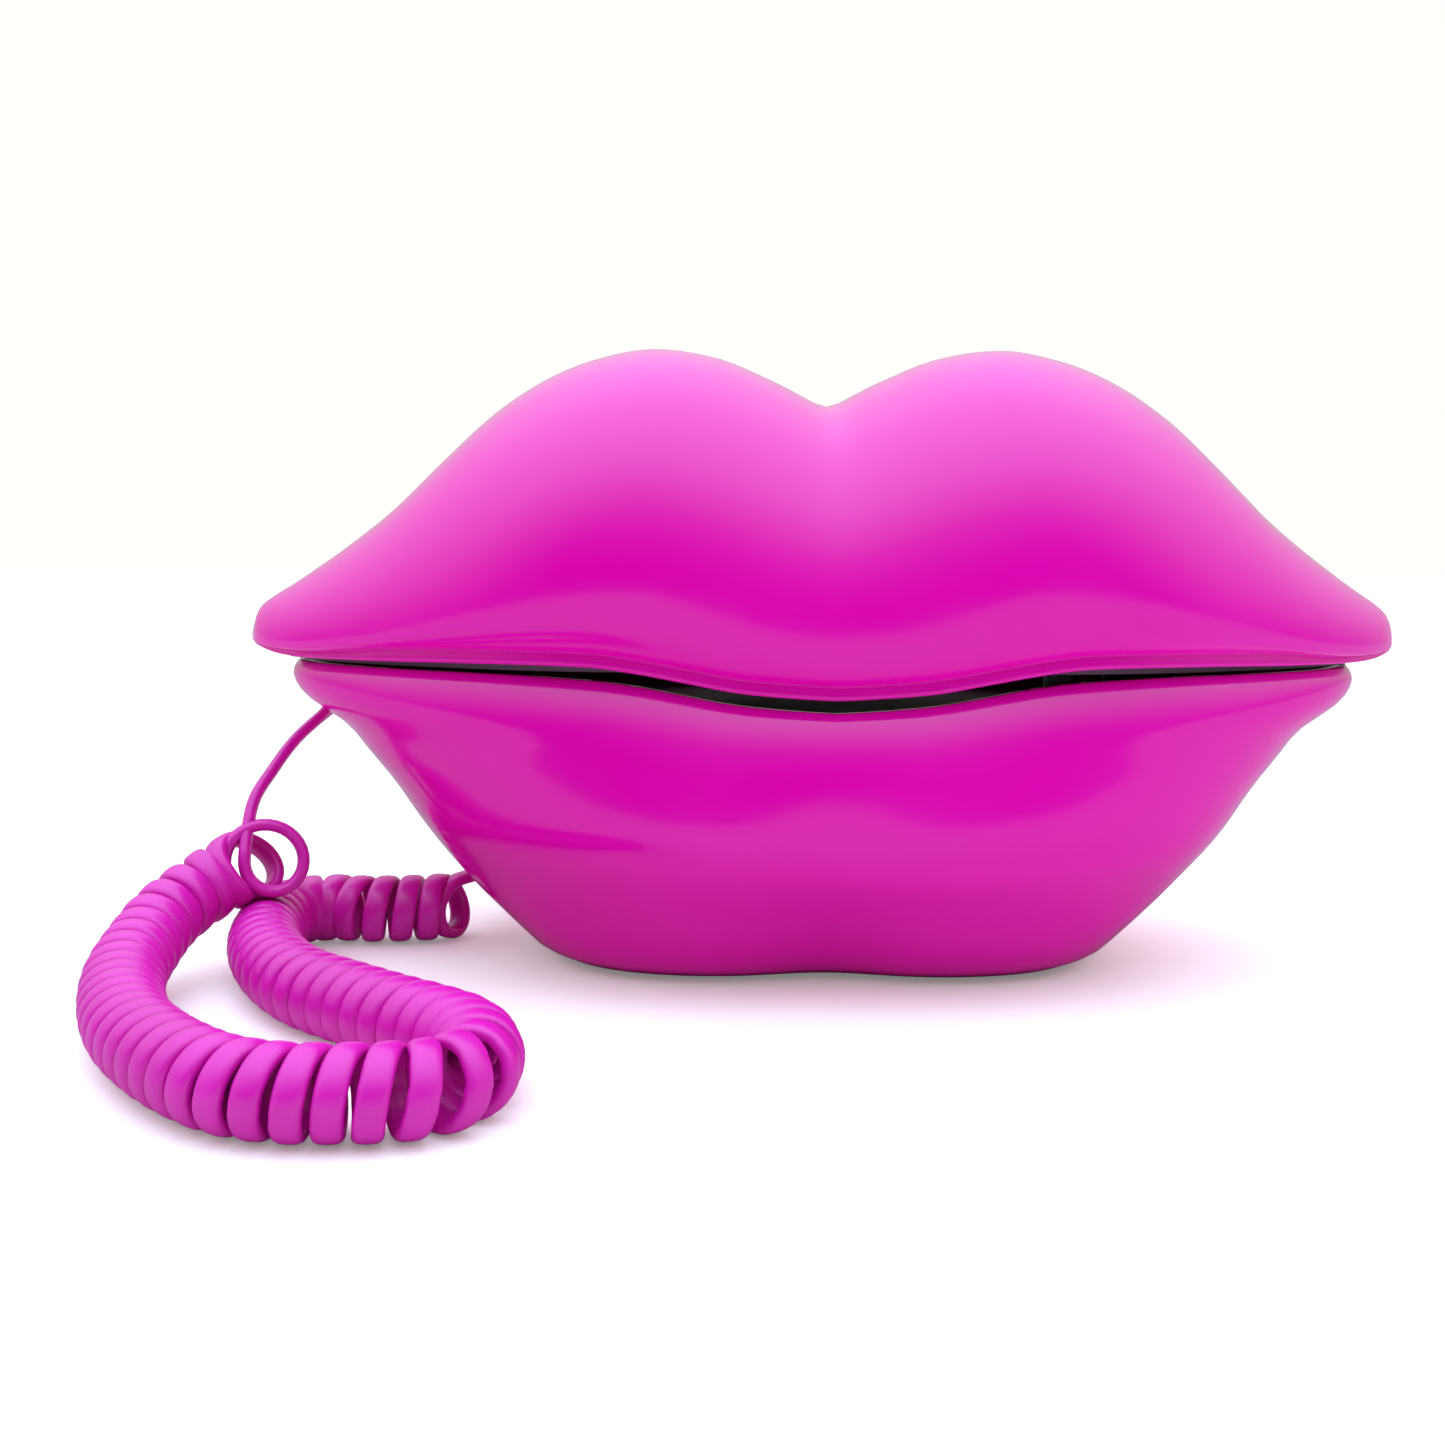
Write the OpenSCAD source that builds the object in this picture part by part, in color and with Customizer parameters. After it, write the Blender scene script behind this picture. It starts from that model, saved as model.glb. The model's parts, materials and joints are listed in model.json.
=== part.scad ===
// Novelty telephone in the shape of a pair of closed lips.
// The upper lip is the handset, the lower lip is the base, and a curly cord joins them.
// +X runs along the mouth, -Y is the front, +Z is up; the origin is under the middle of the feet.

/* [Lips] */
// Length of the upper lip from corner to corner
lip_length = 220; // [205:1:240]
// Depth of the upper lip, front to back
lip_depth = 96; // [88:1:106]
// Height of the closed telephone
phone_height = 115; // [108:1:122]
// Thickness of the moulded shells
wall = 2.3; // [1.8:0.1:2.8]

/* [Keypad] */
// Distance between neighbouring keys
key_pitch = 12; // [11:0.5:13]
// Length of a key along the mouth
key_len = 9; // [7:0.5:9.5]
// Width of a key across the mouth
key_wid = 8; // [6:0.5:9]
// Travel of a key
key_travel = 1.5; // [1:0.1:2]

/* [Hook] */
// Place of the hook plunger along the mouth
hook_x = 47; // [42:1:50]
// Radius of the hook plunger
hook_r = 3.5; // [3:0.1:4]

/* [Cord] */
// Outside diameter of the curly part
coil_d = 13.2; // [12:0.2:14]
// Width of the flat cord
cord_w = 4.3; // [4:0.1:4.8]

/* [Hidden] */
shell_magenta = "#E012B8";
plate_black = "#15121A";
steel = "#B8BCC2";
board_green = "#1F6B3A";
rubber_black = "#1B1B1D";

KEYS = ["1", "2", "3", "4", "5", "6", "7", "8", "9",
        "star", "0", "hash", "redial", "mute", "flash"];

half_l = lip_length / 2;
half_d = lip_depth / 2;
tip_round = 2;

// ---- smooth curves through a few knots ----
function seg(x, k, i = 0) = i >= len(k) - 2 || x < k[i + 1][0] ? i : seg(x, k, i + 1);
function grade(k, a, b) = (k[b][1] - k[a][1]) / (k[b][0] - k[a][0]);
function slope(k, i) = grade(k, max(0, i - 1), min(len(k) - 1, i + 1));
function smooth_at(x, k) =
    let (i = seg(x, k), h = k[i + 1][0] - k[i][0], t = max(0, min(1, (x - k[i][0]) / h)),
         a = k[i][1], b = k[i + 1][1], m = slope(k, i) * h, n = slope(k, i + 1) * h)
    a + t * (m + t * (3 * (b - a) - 2 * m - n + t * (2 * (a - b) + m + n)));

// ---- profiles of the lips, as fractions of the half length, half depth and height ----
// crest of the upper lip: cupid's bow, two peaks, long slopes to the corners
CREST = [[0, 0.909], [0.085, 0.945], [0.168, 0.981], [0.277, 1], [0.377, 0.983],
         [0.459, 0.952], [0.545, 0.9], [0.632, 0.827], [0.723, 0.747], [0.818, 0.68], [0.909, 0.625],
         [0.955, 0.6], [0.982, 0.58], [1, 0.545]];
// widest line of the upper lip, where it turns under
BULGE = [[0, 0.543], [0.06, 0.547], [0.11, 0.56], [0.19, 0.588], [0.26, 0.613], [0.34, 0.615],
         [0.45, 0.597], [0.56, 0.57], [0.72, 0.538], [0.85, 0.524], [0.95, 0.524], [1, 0.53]];
// lower rim of the upper lip
UPPER_RIM = [[0, 0.461], [0.127, 0.471], [0.209, 0.485], [0.282, 0.498], [0.364, 0.508],
             [0.545, 0.51], [0.75, 0.507], [0.909, 0.508], [1, 0.524]];
// depth of the upper lip
UPPER_DEPTH = [[0, 0.98], [0.18, 1], [0.32, 1], [0.455, 0.948], [0.59, 0.833], [0.727, 0.667],
               [0.836, 0.49], [0.918, 0.323], [0.973, 0.17], [1, 0.03]];
// upper rim of the lower lip
LOWER_RIM = [[0, 0.442], [0.127, 0.452], [0.209, 0.465], [0.282, 0.478], [0.364, 0.487],
             [0.545, 0.494], [0.93, 0.496], [1, 0.496]];
// half width and half depth of the lower lip, foot to rim
LOWER_WIDTH = [[0, 0.468], [0.045, 0.508], [0.1, 0.536], [0.175, 0.575], [0.26, 0.618], [0.37, 0.664],
               [0.48, 0.705], [0.6, 0.75], [0.7, 0.795], [0.79, 0.836], [0.88, 0.905],
               [0.95, 0.927], [1, 0.918]];
LOWER_DEPTH = [[0, 0.52], [0.04, 0.605], [0.12, 0.675], [0.2, 0.715], [0.27, 0.752],
               [0.33, 0.808], [0.39, 0.882], [0.45, 0.95], [0.5, 0.983], [0.55, 0.992],
               [0.62, 0.988], [0.7, 0.978], [0.78, 0.965], [0.85, 0.948], [0.9, 0.93],
               [0.95, 0.903], [1, 0.868]];
// dip in the middle of the foot: how deep it is, and how far to each side it reaches
dip_depth = 3.2;
dip_reach = 13;
// above this height fraction the hollow goes straight up to the rim
straight_from = 0.78;

function rounded(x) = sqrt(x * x + tip_round * tip_round) - tip_round;
function along(x) = min(1, rounded(x) / (half_l - tip_round));
function crest_z(x) = phone_height * smooth_at(along(x), CREST);
function bulge_z(x) = phone_height * smooth_at(along(x), BULGE);
function upper_rim_z(x) = phone_height * smooth_at(along(x), UPPER_RIM);
function lower_rim_z(x) = phone_height * smooth_at(along(x), LOWER_RIM);
function upper_d(x) = half_d * smooth_at(along(x), UPPER_DEPTH);
rim_tuck = 0.86;

// a section of the upper lip at x: from the front rim over the crest to the back rim, s = 0..1
function upper_yz(x, s) =
    let (side = s < 0.5 ? -1 : 1, q = 1 - abs(2 * s - 1), d = upper_d(x), zb = bulge_z(x), turn = 0.3,
         a = q < turn ? 90 * q / turn : 90 * (q - turn) / (1 - turn))
    q < turn
    ? [side * d * (rim_tuck + (1 - rim_tuck) * pow(sin(a), 0.9)),
       zb - (zb - upper_rim_z(x)) * pow(cos(a), 0.9)]
    : [side * d * pow(cos(a), 0.92), zb + (crest_z(x) - zb) * pow(sin(a), 0.92)];
function upper_out(i, j, n, m) =
    let (x = half_l * sin(180 * i / n - 90), p = upper_yz(x, j / m)) [x, p[0], p[1]];
// half depth of the opening inside the rim, which the handset's plate fills
function upper_opening(x, inset) = max(0.2 * upper_d(x), rim_tuck * upper_d(x) - wall) - inset;
// the hollow goes straight up from the rim to the ledge above the plate, then follows the wall
ledge_z = 60.3;
function upper_in(i, j, n, m) =
    let (p = upper_out(i, j, n, m), x = p[0], d = upper_d(x), zr = upper_rim_z(x), h = crest_z(x) - zr,
         y = p[2] < ledge_z ? sign(p[1]) * upper_opening(x, 0) : p[1] * max(0.3, (d - wall) / d))
    [x * (half_l - wall) / half_l, y, zr + (p[2] - zr) * max(0.3, (h - wall) / h)];

// outline of the lower lip at height fraction v, turn t in degrees; inset moves it inwards
function lower_size(v, k, inset) =
    inset > 0 && v > straight_from ? min(smooth_at(v, k), k[len(k) - 1][1]) : smooth_at(v, k);
function lower_dip(x, v) = dip_depth * (1 - v) * exp(-pow(x / dip_reach, 2));
function lower_at(v, t, inset = 0) =
    let (w = half_l * lower_size(v, LOWER_WIDTH, inset) - inset,
         d = half_d * lower_size(v, LOWER_DEPTH, inset) - inset,
         blend = v * v * (3 - 2 * v), p = 4.2 - 1.6 * blend, q = 0.5 + 0.05 * blend, c = cos(t),
         x = w * sign(c) * (1 - pow(1 - abs(c), 1.25)),
         y = d * pow(max(0, 1 - pow(abs(x) / w, p)), q))
    [x, sign(sin(t)) * max(0, y - lower_dip(x, v))];
foot_z = 0.8;
function lower_point(v, t, inset = 0) =
    let (p = lower_at(v, t, inset)) [p[0], p[1], foot_z + v * (lower_rim_z(p[0]) - foot_z)];

// ---- closed surface builders ----
function grid_faces(n, m, base, flip) =
    [for (i = [0:n - 1], j = [0:m - 1]) let (a = base + i * (m + 1) + j, b = a + m + 1)
        each flip ? [[a, a + 1, b + 1], [a, b + 1, b]] : [[a, b + 1, a + 1], [a, b, b + 1]]];
function strip(a, b, flip) =
    [for (k = [0:len(a) - 2])
        each flip ? [[a[k], b[k], b[k + 1]], [a[k], b[k + 1], a[k + 1]]]
                  : [[a[k], b[k + 1], b[k]], [a[k], a[k + 1], b[k + 1]]]];

// steps of the shells' surfaces, along and around
up_n = 40;
up_m = 24;
low_n = 18;
low_m = 56;
module upper_solid() {
    n = up_n; m = up_m; size = (n + 1) * (m + 1);
    outer = [for (i = [0:n], j = [0:m]) upper_out(i, j, n, m)];
    inner = [for (i = [0:n], j = [0:m]) upper_in(i, j, n, m)];
    front = [for (i = [0:n]) i * (m + 1)];
    back = [for (i = [0:n]) i * (m + 1) + m];
    tip_a = [for (j = [0:m]) j];
    tip_b = [for (j = [0:m]) n * (m + 1) + j];
    plus = function (list) [for (k = list) k + size];
    fan = function (t, flip) [for (k = [1:m - 1])
        flip ? [t[0], t[k + 1], t[k]] : [t[0], t[k], t[k + 1]]];
    polyhedron(concat(outer, inner),
        concat(grid_faces(n, m, 0, true), grid_faces(n, m, size, false),
               fan(tip_a, true), fan(plus(tip_a), false), fan(tip_b, false), fan(plus(tip_b), true),
               strip(front, plus(front), false), strip(back, plus(back), true),
               [[front[0], back[0] + size, back[0]], [front[0], front[0] + size, back[0] + size]],
               [[front[n], back[n], back[n] + size], [front[n], back[n] + size, front[n] + size]]),
        convexity = 6);
}
module lower_solid() {
    n = low_n; m = low_m; size = (n + 1) * m;
    outer = [for (i = [0:n], j = [0:m - 1]) lower_point(i / n, 360 * j / m)];
    inner = [for (i = [0:n], j = [0:m - 1]) lower_point(i / n, 360 * j / m, wall)];
    quad = function (a, b, c, d, flip) flip ? [[a, c, b], [a, d, c]] : [[a, b, c], [a, c, d]];
    at = function (k, i, j) k * size + i * m + (j % m);
    polyhedron(concat(outer, inner),
        [for (j = [0:m - 1], f = concat(
            [for (k = [0, 1], i = [0:n - 1])
                each quad(at(k, i, j), at(k, i + 1, j), at(k, i + 1, j + 1), at(k, i, j + 1), k == 1)],
            quad(at(0, n, j), at(1, n, j), at(1, n, j + 1), at(0, n, j + 1), false),
            quad(at(0, 0, j), at(1, 0, j), at(1, 0, j + 1), at(0, 0, j + 1), true))) f],
        convexity = 6);
}

// ---- levels of the parts inside ----
plate_t = 2.6;
hand_plate_z = 57.4;
hand_plate_top = hand_plate_z + plate_t;
cradle_z = 46;
cradle_top = cradle_z + plate_t;
cover_z = 1.6;
cover_t = 2.4;
board_z = 9;
board_t = 1.6;
board_top = board_z + board_t;
fit = 0.3;
post_x = 36;
post_y = 12;
boss_x = 54;
boss_y = 20;
boss_h = 40.5;
standoff_x = 28;
standoff_y = 14.5;
foot_x = 24;
foot_y = 13;
ear_x = -76;
sound_x = -27;
mic_x = 80;
rest_x = 62;
rest_top = 56.2;
pad_t = 1.05;
hook_top = 57.25;
hook_rise = 4;
spring_low = 26;
collar_low = 40;
plug_w = 7.6;
plug_h = 6.4;
plug_l = 17;
plug_in = 10;
base_plug_x = -18;
line_x = 12;
switch_x = 32;
socket_z = board_top;
hand_socket = [-71, 37, 61];
hand_socket_turn = 28;
fn_round = 40;
// overshoot of the cuts, so none ends flush with a face
cut = 1;

// ---- sizes of the parts inside ----
pilot_r = 1.2;
pilot_depth = 13;
screw_head_h = 1.2;
screw_shank_r = 1.15;
hand_screw_r = 2.9;
hand_screw_l = 12;
base_screw_r = 2.8;
base_screw_l = 11;
boss_r = 3.4;
post_r = 3.6;
post_h = 43;
key_gap = 0.3;
key_round = 1.6;
key_proud = 2.4;
key_tall = 5.2;
key_flange = 0.9;
mat_size = [62, 38, 1.2];
mat_lift = 2.8;
hand_board_size = [118, 48];
hand_board_lift = 4;
ear_hole_r = 1.1;
ear_hole_ring = 5;
ear_r = 13.4;
ear_magnet_r = 8;
gasket_r_in = 9.5;
gasket_t = 1.2;
mic_hole_r = 1;
boot_r = 6;
boot_h = 4.6;
boot_floor = 1.6;
capsule_r = 4.75;
capsule_h = 4.2;
dial_x = mic_x - 14;
dial_y = 14;
dial_slot = [7.4, 2.6];
dial_throw = 1.6;
socket_w = 11.4;
socket_h = 9.5;
hand_socket_d = 12.5;
base_socket_d = 14;
mouth_gap = 0.4;
cord_mouth = [plug_w + mouth_gap, plug_h + mouth_gap, 10.5];
line_size = [13.4, 16, 11];
line_mouth = [9.9, 7.2, 13];
socket_face_y = 33;
window_w = 12;
window_h = 10;
line_window_w = 14;
line_window_h = 11.5;
window_from_y = 20;
ringer_slot = [6.8, 40, 2.6];
ringer_slot_z = 14.6;
ringer_throw = 1.5;
ringer_knob_y = 30.25;
ringer_knob = [2.8, 13.5, 2.2];
rest_r = 7;
pad_r = 6.2;
foot_r = 5;
collar_r = 4.9;
collar_t = 2;
stem_r = 1.9;
stem_low = 22;
guide_r = 6.6;
guide_bore_r = 5.2;
guide_flange_r = 9;
sounder_r = 9;
sound_hole_r = 0.9;
sound_hole_ring = 5;

module at_four(x, y) {
    for (sx = [-1, 1], sy = [-1, 1]) translate([sx * x, sy * y, 0]) children();
}
module rounded_slab(size, r) {
    linear_extrude(size[2]) hull()
        for (sx = [-1, 1], sy = [-1, 1])
            translate([sx * (size[0] / 2 - r), sy * (size[1] / 2 - r)]) circle(r, $fn = 24);
}
module block(size) {
    translate([-size[0] / 2, -size[1] / 2, 0]) cube(size);
}
module tube(r_out, r_in, h) {
    difference() {
        cylinder(r = r_out, h = h, $fn = fn_round);
        translate([0, 0, -1]) cylinder(r = r_in, h = h + 2, $fn = fn_round);
    }
}
// screw standing head down, its head's face at z = 0
module screw(head_r, length, shank_r = screw_shank_r) {
    cylinder(r = head_r, h = screw_head_h, $fn = 32);
    cylinder(r = shank_r, h = length, $fn = 24);
}
// modular socket facing +Y, front face at y = 0, bottom at z = 0; mouth is its width, height and depth
module modular_socket(size, mouth) {
    difference() {
        translate([-size[0] / 2, -size[1], 0]) cube(size);
        translate([-mouth[0] / 2, -mouth[2], (size[2] - mouth[1]) / 2])
            cube([mouth[0], mouth[2] + cut, mouth[1]]);
    }
}
// modular plug pushed into a socket that faces +Y
module modular_plug() {
    translate([-plug_w / 2, -plug_in, 0]) cube([plug_w, plug_l, plug_h - 1.4]);
    translate([-plug_w / 2 + 1.4, -plug_in + 2, 0]) cube([plug_w - 2.8, plug_l - 4, plug_h]);
}

// ================= handset, the upper lip =================
module at_hand_socket() {
    translate(hand_socket) rotate(hand_socket_turn) children();
}
module handset_shell() {
    color(shell_magenta) difference() {
        union() {
            upper_solid();
            at_four(boss_x, boss_y) translate([0, 0, hand_plate_top])
                cylinder(r = boss_r, h = boss_h, $fn = 32);
        }
        at_four(boss_x, boss_y) translate([0, 0, hand_plate_top - cut])
            cylinder(r = pilot_r, h = pilot_depth + cut, $fn = 24);
        at_hand_socket() translate([-window_w / 2, -hand_socket_d - 0.5, -0.25])
            cube([window_w, 2 * window_w, window_h]);
    }
}
module plate_outline(inset) {
    steps = 30;
    k = (half_l - wall) / half_l;
    edge = [for (i = [1:steps - 1]) let (x = half_l * sin(180 * i / steps - 90))
        [k * x, upper_opening(x, inset)]];
    last = len(edge) - 1;
    polygon(concat(edge, [for (i = [last:-1:0]) [edge[i][0], -edge[i][1]]]));
}
// five rows of three keys, the first row nearest the earpiece
module at_key(k) {
    translate([(floor(k / 3) - 2) * key_pitch, (1 - k % 3) * key_pitch, 0]) children();
}
plate_len = 2 * half_l - 27;
module handset_plate() {
    color(plate_black) difference() {
        translate([0, 0, hand_plate_z]) linear_extrude(plate_t)
            intersection() {
                plate_outline(fit);
                square([plate_len, 2 * half_d], center = true);
            }
        translate([0, 0, hand_plate_z - cut]) {
            for (k = [0:len(KEYS) - 1]) at_key(k)
                block([key_len + 2 * key_gap, key_wid + 2 * key_gap, plate_t + 2 * cut]);
            at_four(boss_x, boss_y) {
                cylinder(r = screw_shank_r + 0.45, h = plate_t + 2 * cut, $fn = 24);
                cylinder(r = hand_screw_r + 0.2, h = screw_head_h + 0.2 + cut, $fn = 32);
            }
            translate([ear_x, 0, 0]) cylinder(r = ear_hole_r, h = plate_t + 2 * cut, $fn = 20);
            for (a = [0:60:300]) translate([ear_x, 0, 0]) rotate(a) translate([ear_hole_ring, 0, 0])
                cylinder(r = ear_hole_r, h = plate_t + 2 * cut, $fn = 20);
            translate([mic_x, 0, 0]) cylinder(r = mic_hole_r, h = plate_t + 2 * cut, $fn = 20);
            translate([dial_x, dial_y, 0]) block([dial_slot[0], dial_slot[1], plate_t + 2 * cut]);
        }
    }
}
module key(k) {
    color("white") at_key(k) {
        translate([0, 0, hand_plate_z - key_proud])
            rounded_slab([key_len, key_wid, key_tall], key_round);
        translate([0, 0, hand_plate_top + 0.2]) block([key_len + 2, key_wid + 2, key_flange]);
    }
}
module keypad_mat() {
    color("#8A8A90") translate([0, 0, hand_plate_top + mat_lift]) block(mat_size);
}
module handset_board() {
    color(board_green) difference() {
        translate([0, 0, hand_plate_top + hand_board_lift])
            block([hand_board_size[0], hand_board_size[1], board_t]);
        at_four(boss_x, boss_y) cylinder(r = boss_r + fit, h = phone_height, $fn = 32);
    }
}
module earpiece_gasket() {
    color(rubber_black) translate([ear_x, 0, hand_plate_top]) tube(ear_r, gasket_r_in, gasket_t);
}
module earpiece_capsule() {
    color("silver") translate([ear_x, 0, hand_plate_top + gasket_t]) {
        cylinder(r = ear_r, h = 3, $fn = 48);
        cylinder(r = ear_magnet_r, h = 6, $fn = fn_round);
    }
}
module microphone_boot() {
    color(rubber_black) translate([mic_x, 0, hand_plate_top]) difference() {
        cylinder(r = boot_r, h = boot_h, $fn = 32);
        translate([0, 0, boot_floor]) cylinder(r = capsule_r + 0.05, h = boot_h, $fn = 32);
        translate([0, 0, -cut]) cylinder(r = mic_hole_r, h = boot_h, $fn = 20);
    }
}
module microphone_capsule() {
    color("silver") translate([mic_x, 0, hand_plate_top + boot_floor])
        cylinder(r = capsule_r, h = capsule_h, $fn = 32);
}
module handset_socket() {
    color("ivory") at_hand_socket()
        modular_socket([socket_w, hand_socket_d, socket_h], cord_mouth);
}
module handset_screws() {
    color(steel) at_four(boss_x, boss_y) translate([0, 0, hand_plate_z + 0.2])
        screw(hand_screw_r, hand_screw_l);
}
module handset_weight() {
    color(steel) translate([0, 0, hand_plate_top + 5.6]) block([44, 24, 5]);
}
module dial_mode_switch() {
    color("#3A3A40") translate([dial_x, dial_y, hand_plate_top]) difference() {
        block([11, 5.4, 4.4]);
        translate([0, 0, -cut]) block([dial_slot[0], 2.4, 3.4]);
    }
}
module dial_mode_slider() {
    color("white") translate([dial_x - dial_throw, dial_y, hand_plate_z - 0.4])
        block([2.8, 1.9, 5.2]);
}

// ================= base, the lower lip =================
module rear_window(x, w, h) {
    translate([x - w / 2, window_from_y, socket_z - 0.25]) cube([w, half_d, h]);
}
module base_shell() {
    color(shell_magenta) difference() {
        lower_solid();
        rear_window(base_plug_x, window_w, window_h);
        rear_window(line_x, line_window_w, line_window_h);
        translate([switch_x - ringer_slot[0] / 2, window_from_y, ringer_slot_z]) cube(ringer_slot);
    }
}
// outline of the hollow of the lower lip at height z
module hollow_outline(z, inset) {
    polygon([for (j = [0:5:355])
        let (x = lower_at(0.85, j)[0], v = (z - foot_z) / (lower_rim_z(x) - foot_z))
        lower_at(v, j, wall + inset)]);
}
module cradle_plate() {
    color(plate_black) difference() {
        union() {
            translate([0, 0, cradle_z]) linear_extrude(plate_t)
                hollow_outline(cradle_z + plate_t / 2, 0.9);
            at_four(post_x, post_y) translate([0, 0, cover_z + cover_t])
                cylinder(r = post_r, h = post_h, $fn = 32);
            for (s = [-1, 1]) translate([s * rest_x, 0, cradle_top - 1])
                cylinder(r = rest_r, h = rest_top - cradle_top + 1, $fn = fn_round);
        }
        at_four(post_x, post_y) translate([0, 0, cover_z + cover_t - cut])
            cylinder(r = pilot_r, h = pilot_depth + cut, $fn = 24);
        translate([hook_x, 0, cradle_z - cut])
            cylinder(r = hook_r + 0.4, h = plate_t + 2 * cut, $fn = fn_round);
    }
}
module cradle_pads() {
    color(rubber_black) for (s = [-1, 1]) translate([s * rest_x, 0, rest_top])
        cylinder(r = pad_r, h = pad_t, $fn = fn_round);
}
module hook_plunger() {
    color("ivory") translate([hook_x, 0, 0]) rotate_extrude($fn = 48) polygon([
        [0, stem_low], [stem_r, stem_low], [stem_r, collar_low], [collar_r, collar_low],
        [collar_r, collar_low + collar_t], [hook_r, collar_low + collar_t], [hook_r, hook_top - 1],
        [hook_r - 1, hook_top], [0, hook_top]]);
}
module hook_spring() {
    turns = 6;
    wire = 0.45;
    rings = turns * 10;
    pitch = (collar_low - spring_low - 2 * wire - 0.2) / turns;
    color(steel) translate([hook_x, 0, spring_low + wire + 0.1])
        sweep([for (i = [0:rings])
            let (a = 36 * i) [3.6 * cos(a), 3.6 * sin(a), pitch * i / 10]], wire, 6);
}
module hook_guide() {
    color("#3A3A40") translate([hook_x, 0, spring_low - 2]) difference() {
        union() {
            cylinder(r = guide_r, h = cradle_z - spring_low + 2, $fn = 48);
            translate([0, 0, cradle_z - spring_low]) cylinder(r = guide_flange_r, h = 2, $fn = 48);
        }
        translate([0, 0, 2]) cylinder(r = guide_bore_r, h = cradle_z - spring_low + cut, $fn = 48);
        translate([0, 0, -cut]) cylinder(r = stem_r + 0.3, h = 2 + 2 * cut, $fn = 32);
    }
}
module hook_switch() {
    color("#3A3A40") translate([hook_x, 0, board_top]) {
        block([10, 8, 9]);
        cylinder(r = 1.6, h = 11.2, $fn = 24);
    }
}
module base_board() {
    color(board_green) difference() {
        union() {
            translate([3, 0, board_z]) block([100, 36, board_t]);
            translate([5, 20, board_z]) block([62, 9, board_t]);
        }
        at_four(post_x, post_y) cylinder(r = 4, h = 20, $fn = 32);
        at_four(standoff_x, standoff_y) cylinder(r = 1.2, h = 20, $fn = 24);
        for (s = [-1, 1]) translate([56, s * 20, 0]) cylinder(r = 9, h = 20, $fn = 32);
    }
}
module board_screws() {
    color(steel) at_four(standoff_x, standoff_y) translate([0, 0, board_top + screw_head_h])
        mirror([0, 0, 1]) screw(2.2, 6, 0.95);
}
module ringer() {
    color("#C9A227") translate([sound_x, 0, board_top]) {
        cylinder(r = sounder_r, h = 1, $fn = fn_round);
        translate([0, 0, 1]) tube(sounder_r - 1, 2, 3);
    }
}
module base_socket() {
    color("ivory") translate([base_plug_x, socket_face_y, socket_z])
        modular_socket([socket_w, base_socket_d, socket_h], cord_mouth);
}
module line_socket() {
    color("ivory") translate([line_x, socket_face_y, socket_z]) modular_socket(line_size, line_mouth);
}
module ringer_switch() {
    color("#3A3A40") translate([switch_x, 22.6, board_top]) difference() {
        block([11, 5, 8]);
        translate([0, 2, 3.8]) block([7, 3, 2.9]);
    }
}
module ringer_slider() {
    color("white") translate([switch_x - ringer_throw, ringer_knob_y, ringer_slot_z + 0.2])
        block(ringer_knob);
}
module base_weight() {
    color(steel) translate([4, 0, cover_z + cover_t]) block([44, 19, 4.2]);
}
module bottom_cover() {
    color(plate_black) difference() {
        union() {
            translate([0, 0, cover_z]) linear_extrude(cover_t) hollow_outline(cover_z, 2 * fit);
            at_four(standoff_x, standoff_y) translate([0, 0, cover_z + cover_t - 0.5])
                cylinder(r = 2.6, h = board_z - cover_z - cover_t + 0.5, $fn = 32);
        }
        at_four(post_x, post_y) translate([0, 0, cover_z - cut]) {
            cylinder(r = screw_shank_r + 0.35, h = cover_t + 2 * cut, $fn = 24);
            cylinder(r = base_screw_r + 0.2, h = screw_head_h + 0.1 + cut, $fn = 32);
        }
        at_four(standoff_x, standoff_y) translate([0, 0, cover_z + 2])
            cylinder(r = 0.95, h = 9, $fn = 24);
        at_four(foot_x, foot_y) translate([0, 0, cover_z - cut])
            cylinder(r = foot_r + 0.2, h = 1 + cut, $fn = fn_round);
        for (a = [0:45:315]) translate([sound_x, 0, cover_z - cut]) rotate(a)
            translate([sound_hole_ring, 0, 0])
            cylinder(r = sound_hole_r, h = cover_t + 2 * cut, $fn = 20);
    }
}
module base_screws() {
    color(steel) at_four(post_x, post_y) translate([0, 0, cover_z + 0.1])
        screw(base_screw_r, base_screw_l);
}
module feet() {
    color(rubber_black) at_four(foot_x, foot_y) cylinder(r = foot_r, h = cover_z + 1, $fn = fn_round);
}

// ================= cord =================
// swept round tube along points
function unit(v) = v / norm(v);
function tangent(p, i) = unit(p[min(i + 1, len(p) - 1)] - p[max(i - 1, 0)]);
function side_of(t) = unit(cross(t, abs(t[2]) > 0.9 ? [1, 0, 0] : [0, 0, 1]));
module sweep(path, r, sides) {
    last = len(path) - 1;
    points = [for (i = [0:last], k = [0:sides - 1])
        let (t = tangent(path, i), a = side_of(t), b = cross(a, t))
        path[i] + r * (cos(360 * k / sides) * a + sin(360 * k / sides) * b)];
    walls = [for (i = [0:last - 1], k = [0:sides - 1])
        let (n = (k + 1) % sides, a = i * sides + k, b = i * sides + n)
        each [[a, b, b + sides], [a, b + sides, a + sides]]];
    polyhedron(points, concat(walls, [[for (k = [sides - 1:-1:0]) k]],
        [[for (k = [0:sides - 1]) last * sides + k]]), convexity = 8);
}
coil_r = coil_d / 2;
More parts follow.
